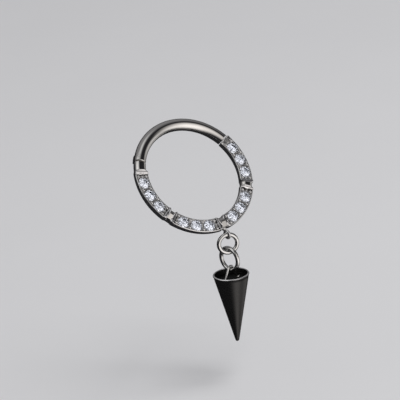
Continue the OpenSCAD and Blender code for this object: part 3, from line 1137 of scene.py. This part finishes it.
class SoftLight(NamedTuple):
    """A soft light: its colour's setting, its middle's turn and rise in degrees, the tangents of its half
    sizes, and the part of them up to which it has its full brightness"""

    setting: str
    turn: float
    rise: float
    wide: float
    tall: float
    core: float = 0.0

    def seen_along(self, nodes, ray):
        """How much of the light a direction meets, from its core out to its edge"""
        turn = math.radians(self.turn)
        rise = math.radians(self.rise)
        ahead = facing(turn, rise)
        right = Vector((math.cos(turn), math.sin(turn), 0))

        def along(axis):
            return nodes.add("VectorMath", {"operation": "DOT_PRODUCT"}, {0: ray, 1: axis}, output=1)

        depth = along(ahead).math("MAXIMUM", 0.02)
        across = along(right) / depth / self.wide
        upright = along(right.cross(-ahead)) / depth / self.tall
        return nodes.ease((across * across + upright * upright).math("SQRT"), self.core, 1.0, 1.0, 0.0)


SOFT_LIGHTS = (
    SoftLight("high", 165, 56, 2.3, 1.56),
    SoftLight("low", 6, -35, 0.95, 1.25, 0.3),
    SoftLight("side", 70, -16, 1.2, 0.85),
    SoftLight("left", -92, 45, 0.85, 0.8, 0.2),
    SoftLight("main", 4, 1, 1.14, 1.9),
    SoftLight("top", 0, 90, 0.5, 0.5),
)


class RING_OT_stage(bpy.types.Operator):
    """Makes the floor, the lights and the camera"""

    bl_idname = "ring.stage"
    bl_label = "Floor, lights and camera"

    def execute(self, context):
        scene = context.scene
        studio = scene.ring_studio
        self.floor(scene, studio)
        self.surround(scene, studio)
        self.lamp(scene, studio)
        self.camera(scene, studio)
        scene.view_settings.view_transform = "Standard"
        return {"FINISHED"}

    def floor(self, scene, studio):
        """A plain pale floor under the spike's tip"""
        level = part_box("spike")[0].z - studio.floor_drop
        half = studio.floor_half
        data = bpy.data.meshes.new("floor")
        corners = [(x, y, level) for x, y in oblong((-half, -half), (half, half))]
        data.from_pydata(corners, [], [(0, 1, 2, 3)])
        made = bpy.data.objects.new("floor", data)
        scene.collection.objects.link(made)
        made.visible_glossy = False
        made.visible_transmission = False
        finish, nodes = new_finish("pale_floor")
        grain = nodes.noise(nodes.add("TexCoord", output=3), scale=60.0, detail=3.0)
        tinted = nodes.mix(grain, studio.floor, darker(studio.floor, 0.97))
        shade(nodes, nodes.add("BsdfPrincipled", sockets={
            "Base Color": tinted, "Roughness": 0.9, "Specular IOR Level": 0.1}))
        data.materials.append(finish)

    def surround(self, scene, studio):
        """An even pale light for the floor, and a dark studio with soft lights for the metal to mirror"""
        scene.world = bpy.data.worlds.new("studio")
        scene.world.use_nodes = True
        nodes = Nodes(scene.world.node_tree)
        ray = nodes.add("TexCoord", output=0)
        mirrored = tuple(studio.dark)
        for light in SOFT_LIGHTS:
            glow = nodes.add("VectorMath", {"operation": "SCALE"}, {
                0: tuple(getattr(studio, light.setting)), "Scale": light.seen_along(nodes, ray)})
            mirrored = nodes.add("VectorMath", {"operation": "ADD"}, {0: glow, 1: mirrored})
        sparkle = nodes.ease(nodes.noise(ray, scale=2.6, detail=1.0), 0.415, 0.56)
        through = nodes.mix(sparkle, studio.dark, studio.spark)
        camera_ray, diffuse_ray, inner_ray = [nodes.add("LightPath", output=f"Is {kind} Ray")
                                              for kind in ("Camera", "Diffuse", "Transmission")]
        seen = nodes.mix(inner_ray, mirrored, through)
        seen = nodes.mix(camera_ray + diffuse_ray, seen, studio.haze)
        lit = nodes.add("Background", sockets={"Color": seen, "Strength": 1.0})
        nodes.add("OutputWorld", sockets={"Surface": lit})

    def lamp(self, scene, studio):
        """One large soft lamp overhead, for the floor and its shadow"""
        data = bpy.data.lights.new("overhead", "AREA")
        data.size = studio.lamp_w
        data.energy = studio.lamp_power
        lamp = bpy.data.objects.new("overhead", data)
        lamp.location = studio.lamp_at
        aim = Vector(studio.lamp_to) - lamp.location
        lamp.rotation_euler = aim.to_track_quat("-Z", "Y").to_euler()
        lamp.visible_glossy = False
        lamp.visible_transmission = False
        scene.collection.objects.link(lamp)

    def camera(self, scene, studio):
        """The photo's view: turned, raised and rolled about its middle"""
        turn = studio.camera_turn
        roll = studio.camera_roll
        back = facing(turn, studio.camera_rise)
        level = Vector((math.cos(turn), math.sin(turn), 0))
        right = level * math.cos(roll) - back.cross(level) * math.sin(roll)
        data = bpy.data.cameras.new("view")
        data.lens = studio.lens
        data.sensor_width = 36
        data.clip_start = 0.01
        data.clip_end = 10
        camera = bpy.data.objects.new("view", data)
        faces = Matrix((right, back.cross(right), back)).transposed().to_4x4()
        camera.matrix_world = moved(*Vector(studio.look_at) + studio.camera_far * back) @ faces
        scene.collection.objects.link(camera)
        scene.camera = camera


class RING_PT_panel(bpy.types.Panel):
    """Lists the makers of the ring's pieces"""

    bl_idname = "RING_PT_panel"
    bl_label = "Piercing ring"
    bl_space_type = "VIEW_3D"
    bl_region_type = "UI"
    bl_category = "Piercing ring"

    def draw(self, context):
        for maker in MAKERS:
            self.layout.operator(maker.bl_idname)
        for group in GROUPS:
            settings = getattr(context.scene, group)
            for prop in settings.bl_rna.properties:
                if prop.identifier not in ("rna_type", "name"):
                    self.layout.prop(settings, prop.identifier)


GROUPS = {"ring_sizes": RingSizes, "drop_sizes": DropSizes, "ring_finishes": Finishes,
          "ring_studio": Studio}
MAKERS = (RING_OT_bar, RING_OT_pin, RING_OT_stub, RING_OT_panels, RING_OT_necks, RING_OT_lug, RING_OT_gems,
          RING_OT_links, RING_OT_spike, RING_OT_stage)
CLASSES = (*GROUPS.values(), *MAKERS, RING_PT_panel)


def register():
    for cls in CLASSES:
        bpy.utils.register_class(cls)
    for name, group in GROUPS.items():
        setattr(bpy.types.Scene, name, PointerProperty(type=group))


def unregister():
    for name in GROUPS:
        delattr(bpy.types.Scene, name)
    for cls in reversed(CLASSES):
        bpy.utils.unregister_class(cls)


def main():
    register()
    bpy.ops.ring.bar()
    bpy.ops.ring.pin()
    bpy.ops.ring.stub()
    bpy.ops.ring.panels()
    bpy.ops.ring.necks()
    bpy.ops.ring.lug()
    bpy.ops.ring.gems()
    bpy.ops.ring.links()
    bpy.ops.ring.spike()
    bpy.ops.ring.stage()
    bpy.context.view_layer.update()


if __name__ == "__main__":
    main()
